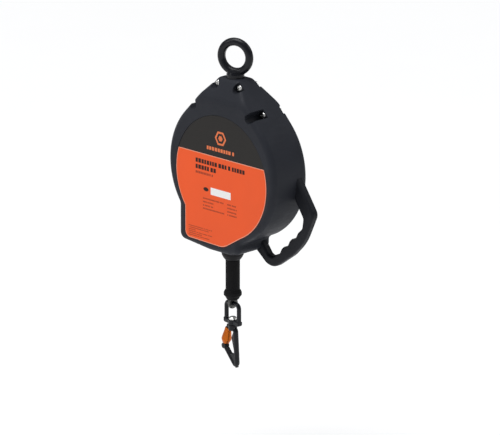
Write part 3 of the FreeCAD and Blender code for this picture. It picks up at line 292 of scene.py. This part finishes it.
FINISH = {
    "forged_steel": powder_coated("black_powder_coat", (0.0065, 0.0072, 0.0100), 0.30),
    "shell_plastic": moulded("charcoal_shell", CHARCOAL, 0.52, 1500.0, 0.00006),
    "handle_plastic": moulded("charcoal_handle", tone(CHARCOAL, 0.55), 0.46, 1900.0, 0.00004),
    "zinc_steel": plated("bright_zinc", (0.74, 0.74, 0.72), 0.26, 900.0, "X"),
    "label_print": label_film("label_film", LABEL_DARK, ORANGE, BOUNDARY),
    "galvanised_cable": rope_wire("galvanised_wire", (0.55, 0.55, 0.54)),
    "cast_alloy": cast("cast_alloy", (0.62, 0.62, 0.63), 0.42),
    "steel_plate": plated("zinc_plate", (0.58, 0.59, 0.60), 0.34, 700.0, "Z"),
    "spring_steel": plated("blued_spring", (0.22, 0.24, 0.29), 0.30, 800.0, "Y"),
    "bronze": cast("sintered_bronze", (0.52, 0.36, 0.17), 0.45),
    "acetal": moulded("natural_acetal", (0.72, 0.70, 0.65), 0.38, 900.0, 0.00002, 0.03),
    "friction_lining": lining("pressed_lining"),
    "nozzle_plastic": moulded("black_nozzle", (0.010, 0.010, 0.0115), 0.50, 1600.0, 0.00005),
    "sleeve_rubber": rubber("black_rubber", (0.0060, 0.0058, 0.0064)),
    "ferrule_alloy": plated("pressed_alloy", (0.70, 0.70, 0.70), 0.38, 500.0, "Z", 0.00003),
    "anodised_orange": anodised("orange_anodised", (0.50, 0.115, 0.009)),
}

# a darker copy of the wire finish, used for the cable eye and the thimble
DARK_WIRE = rope_wire("dark_wire", (0.13, 0.13, 0.125))
OWN_FINISH = {"cable_eye": DARK_WIRE, "thimble": DARK_WIRE}

for node_name, thing in NODES.items():
    thing.data.materials.clear()
    thing.data.materials.append(OWN_FINISH.get(node_name, FINISH[SLOT_OF[node_name]]))


# ---------------------------------------------------------------- mesh helpers
def piece(name, mesh_builder, material, body, replaced=(), smooth=True):
    """A new mesh piece with the given material, riding on a body when one is given."""
    mesh = bpy.data.meshes.new(name)
    bm = bmesh.new()
    mesh_builder(bm)
    bmesh.ops.recalc_face_normals(bm, faces=bm.faces)
    bm.to_mesh(mesh)
    bm.free()
    for polygon in mesh.polygons:
        polygon.use_smooth = smooth
    thing = bpy.data.objects.new(name, mesh)
    bpy.context.scene.collection.objects.link(thing)
    mesh.materials.append(material)
    if body:
        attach(thing, body)
    if replaced:
        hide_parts(*replaced)
    return thing


def flat_layers(shapes, front_y, thickness):
    """Builder of thin flat shapes, for ink and for the painted edge highlight: each one a list of (x, height)
    points, in millimetres.
    """
    def build(bm):
        for shape in shapes:
            outer = [bm.verts.new(at(x, front_y, h)) for x, h in shape]
            inner = [bm.verts.new(at(x, front_y + thickness, h)) for x, h in shape]
            bm.faces.new(outer)
            bm.faces.new(list(reversed(inner)))
            count = len(shape)
            for i in range(count):
                j = (i + 1) % count
                bm.faces.new((outer[i], inner[i], inner[j], outer[j]))
    return build


def bar_shape(x0, x1, h0, h1):
    return [(x0, h0), (x1, h0), (x1, h1), (x0, h1)]


def greeked(rng, x0, x1, h0, h1, widest, gap):
    """A line of text shown as plain blocks of uneven width."""
    shapes, x = [], x0
    while x < x1 - 0.5 * widest:
        width = min(rng.uniform(0.65, 1.0) * widest, x1 - x)
        shapes.append(bar_shape(x, x + width, h0, h1))
        x += width + gap * (2.6 if rng.random() < 0.16 else 1.0)
    return shapes


def tube(path, radius, sides):
    """Builder of a round tube that follows a list of points."""
    def build(bm):
        rings = []
        previous = None
        for i, point in enumerate(path):
            ahead = path[min(i + 1, len(path) - 1)] - path[max(i - 1, 0)]
            ahead.normalize()
            if previous is None:
                helper = Vector((1, 0, 0)) if abs(ahead.x) < 0.8 else Vector((0, 1, 0))
                side = ahead.cross(helper).normalized()
            else:
                side = (previous - ahead * previous.dot(ahead)).normalized()
            previous = side
            other = ahead.cross(side)
            rings.append([bm.verts.new(point + (side * math.cos(a) + other * math.sin(a)) * radius)
                          for a in (2 * math.pi * k / sides for k in range(sides))])
        for low, high in zip(rings, rings[1:]):
            for k in range(sides):
                j = (k + 1) % sides
                bm.faces.new((low[k], low[j], high[j], high[k]))
        bm.faces.new(list(reversed(rings[0])))
        bm.faces.new(rings[-1])
    return build


# ---------------------------------------------------------------- label print, with a painted highlight along its edge
LAYER_THICKNESS = 0.05                     # thickness of the ink and of the painted edge highlight
LEFT_COLUMN, RIGHT_COLUMN, RIGHT_COLUMN_END = -37.5, 14.3, 33.9
HEADING_LEFT, NOTE_LEFT = -53.0, -68.4
ROW_HALF, NOTE_HALF = 1.1, 0.7
EDGE_STEPS, EDGE_HIGHLIGHT_WIDTH = 40, 0.9


def label_layer(name, shapes, paint_name, colour):
    """A thin layer on the label's face: ink, and along the orange area's edge a painted highlight."""
    piece(name, flat_layers(shapes, LABEL_FRONT_Y - LAYER_THICKNESS, LAYER_THICKNESS), flat_paint(paint_name, colour), "housing",
          smooth=False)


def hexagon(x, height, radius):
    return [(x + radius * math.cos(a), height + radius * math.sin(a)) for a in (math.pi * k / 3 for k in range(6))]


def ellipse(x, height, half_width, half_height, sides=40):
    angles = [2 * math.pi * k / sides for k in range(sides)]
    return [(x + half_width * math.cos(a), height + half_height * math.sin(a)) for a in angles]


def band(outer, inner):
    """Closed band between two outlines with the same number of corners, as one shape per side."""
    count = len(outer)
    return [[outer[i], outer[(i + 1) % count], inner[(i + 1) % count], inner[i]] for i in range(count)]


def label_arc(start, end):
    """Points of the label's round edge from one angle to another, in degrees."""
    angles = [math.radians(start + (end - start) * k / EDGE_STEPS) for k in range(EDGE_STEPS + 1)]
    return [(LABEL_CENTRE + LABEL_R * math.cos(a), LABEL_CENTRE + LABEL_R * math.sin(a)) for a in angles]


def inset(points, distance):
    """A closed outline, drawn anticlockwise, moved inwards by a small distance."""
    moved = []
    for i, (x, h) in enumerate(points):
        (x0, h0), (x1, h1) = points[i - 1], points[(i + 1) % len(points)]
        ahead = Vector((x1 - x0, h1 - h0)).normalized()
        moved.append((x - ahead.y * distance, h + ahead.x * distance))
    return moved


rng = random.Random(11)
heading = greeked(rng, HEADING_LEFT, 53, 16, 22.6, 5.6, 1.3) + greeked(rng, HEADING_LEFT, -7, 6.2, 12.8, 5.4, 1.3)
small = greeked(rng, HEADING_LEFT, -15, -1.0, 2.6, 3.0, 0.8)
for height, length in zip((-37.6, -43.0, -48.5, -53.5), (44, 23, 23, 45)):
    low, high = height - ROW_HALF, height + ROW_HALF
    small += greeked(rng, LEFT_COLUMN, LEFT_COLUMN + length, low, high, 2.6, 0.7)
    small += greeked(rng, RIGHT_COLUMN, RIGHT_COLUMN_END, low, high, 2.6, 0.7)
for k, length in enumerate((50, 44, 16, 50, 30, 44)):
    height = -86 - 2.9 * k
    small += greeked(rng, NOTE_LEFT, NOTE_LEFT + length, height - NOTE_HALF, height + NOTE_HALF, 2.2, 0.6)
label_layer("label_heading", heading, "dark_ink", (0.028, 0.012, 0.008))
label_layer("label_small_print", small, "thin_ink", (0.36, 0.055, 0.02))
label_layer("label_write_on_box", [bar_shape(-21, 21.3, -29.3, -18.1)], "white_ink", (0.9, 0.9, 0.9))
label_layer("label_oval", [ellipse(-31, -23, 5.5, 3.1)], "oval_ink", (0.03, 0.014, 0.01))

marks = band(hexagon(0, 62, 12.0), hexagon(0, 62, 8.6)) + [hexagon(0, 62, 4.6)]
marks += greeked(rng, -29, 29, 40.5, 46.0, 5.0, 1.4)
label_layer("label_emblem", marks, "emblem_ink", (0.78, 0.19, 0.07))

# the orange area's outline: right edge, boundary, left edge, then the corner and foot over the bottom block
boundary_deg = math.degrees(math.asin((BOUNDARY - LABEL_CENTRE) / LABEL_R))
orange_area = label_arc(-64, boundary_deg) + label_arc(180 - boundary_deg, 216.8)
orange_area += [(-75.3, -95.5), (-74.4, -99.5), (-72.0, -102.8), (-68.6, -104.8), (-65.0, -105.1), (-2.6, -106.7),
                (5.4, -105.6), (13.4, -102.4)]
# pale band just inside the orange area's outline: a painted highlight on the label film's edge
label_layer("label_edge_highlight", band(orange_area, inset(orange_area, EDGE_HIGHLIGHT_WIDTH)), "edge_highlight_paint", (0.92, 0.40, 0.27))


# ---------------------------------------------------------------- cable
CABLE_X = -6.0
SPAN_TOP, SPAN_BOTTOM = -100.0, -134.5
STRANDS, STRAND_R, STRAND_SIDES = 6, 0.72, 10
LAY_R, LAY_LENGTH = 1.44, 15.0       # a strand's winding radius, and the length it takes for one turn


def strand_path(phase, steps=60):
    """One strand's line as it winds round the cable's core."""
    points = []
    for k in range(steps + 1):
        height = SPAN_TOP + (SPAN_BOTTOM - SPAN_TOP) * k / steps
        turn = phase + 2 * math.pi * (height - SPAN_TOP) / LAY_LENGTH
        points.append(at(CABLE_X + LAY_R * math.cos(turn), LAY_R * math.sin(turn), height))
    return points


SPAN_ENDS = [at(CABLE_X, 0, SPAN_TOP), at(CABLE_X, 0, SPAN_BOTTOM)]


def cable_builder(bm):
    for k in range(STRANDS):
        tube(strand_path(2 * math.pi * k / STRANDS), STRAND_R * MM, STRAND_SIDES)(bm)
    tube(SPAN_ENDS, STRAND_R * MM, STRAND_SIDES)(bm)


span = piece("cable_strands", cable_builder, FINISH["galvanised_cable"], None, ("cable_span",))
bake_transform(span)


# ---------------------------------------------------------------- floor, light and camera
FLOOR_SIZE, FLOOR_Z = 30.0, -0.66
LAMP_AIM = Vector((0, 0, -0.2))
WORLD_COLOUR, WORLD_STRENGTH = (0.95, 0.97, 1.0, 1.0), 0.24


def studio():
    floor_mesh = bpy.data.meshes.new("floor")
    bm = bmesh.new()
    bmesh.ops.create_grid(bm, x_segments=1, y_segments=1, size=FLOOR_SIZE)
    bm.to_mesh(floor_mesh)
    bm.free()
    floor = bpy.data.objects.new("floor", floor_mesh)
    floor.location = (0, 0, FLOOR_Z)
    bpy.context.scene.collection.objects.link(floor)
    p = Paint("pale_floor")
    p.colour(p.blend(p.noise(3.0), (0.93, 0.93, 0.93), (0.95, 0.95, 0.95)))
    p.set(Roughness=0.9)
    floor_mesh.materials.append(p.material)
    floor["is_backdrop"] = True

    world = bpy.data.worlds.new("studio")
    world.use_nodes = True
    background = world.node_tree.nodes["Background"]
    background.inputs["Color"].default_value = WORLD_COLOUR
    background.inputs["Strength"].default_value = WORLD_STRENGTH
    bpy.context.scene.world = world

    def lamp(name, kind, place, energy, **settings):
        data = bpy.data.lights.new(name, kind)
        data.energy = energy
        for key, value in settings.items():
            setattr(data, key, value)
        thing = bpy.data.objects.new(name, data)
        thing.location = place
        thing.rotation_euler = (LAMP_AIM - Vector(place)).to_track_quat("-Z", "Y").to_euler()
        bpy.context.scene.collection.objects.link(thing)

    lamp("overhead", "SUN", (-0.5, -0.6, 3.0), 2.60, angle=math.radians(50))
    lamp("key", "AREA", (-1.3, -2.3, 1.3), 12.5, size=1.0)
    lamp("rim", "AREA", (1.2, 1.6, 1.4), 6.0, size=1.0)
    bpy.context.scene.view_settings.view_transform = "Standard"


AZIMUTH, ELEVATION = math.radians(45.0), math.radians(16.6)
DISTANCE, MM_PER_PIXEL, WIDTH_PIXELS = 9.0, 1.5, 500
AIM_RIGHT, AIM_DOWN = 21.75, 64.5    # millimetres from the label's middle to the middle of the view


def camera():
    toward = Vector((math.cos(ELEVATION) * math.sin(AZIMUTH), -math.cos(ELEVATION) * math.cos(AZIMUTH),
                     math.sin(ELEVATION)))
    right = Vector((math.cos(AZIMUTH), math.sin(AZIMUTH), 0))
    up = toward.cross(right)
    target = at(0, 0, 0) + right * AIM_RIGHT * MM - up * AIM_DOWN * MM
    data = bpy.data.cameras.new("camera")
    data.sensor_width = 36.0
    data.lens = data.sensor_width * DISTANCE / (WIDTH_PIXELS * MM_PER_PIXEL * MM)
    data.clip_end = 100.0
    eye = bpy.data.objects.new("camera", data)
    eye.location = target + toward * DISTANCE
    eye.rotation_euler = (-toward).to_track_quat("-Z", "Y").to_euler()
    bpy.context.scene.collection.objects.link(eye)
    bpy.context.scene.camera = eye


studio()
camera()

low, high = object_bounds()
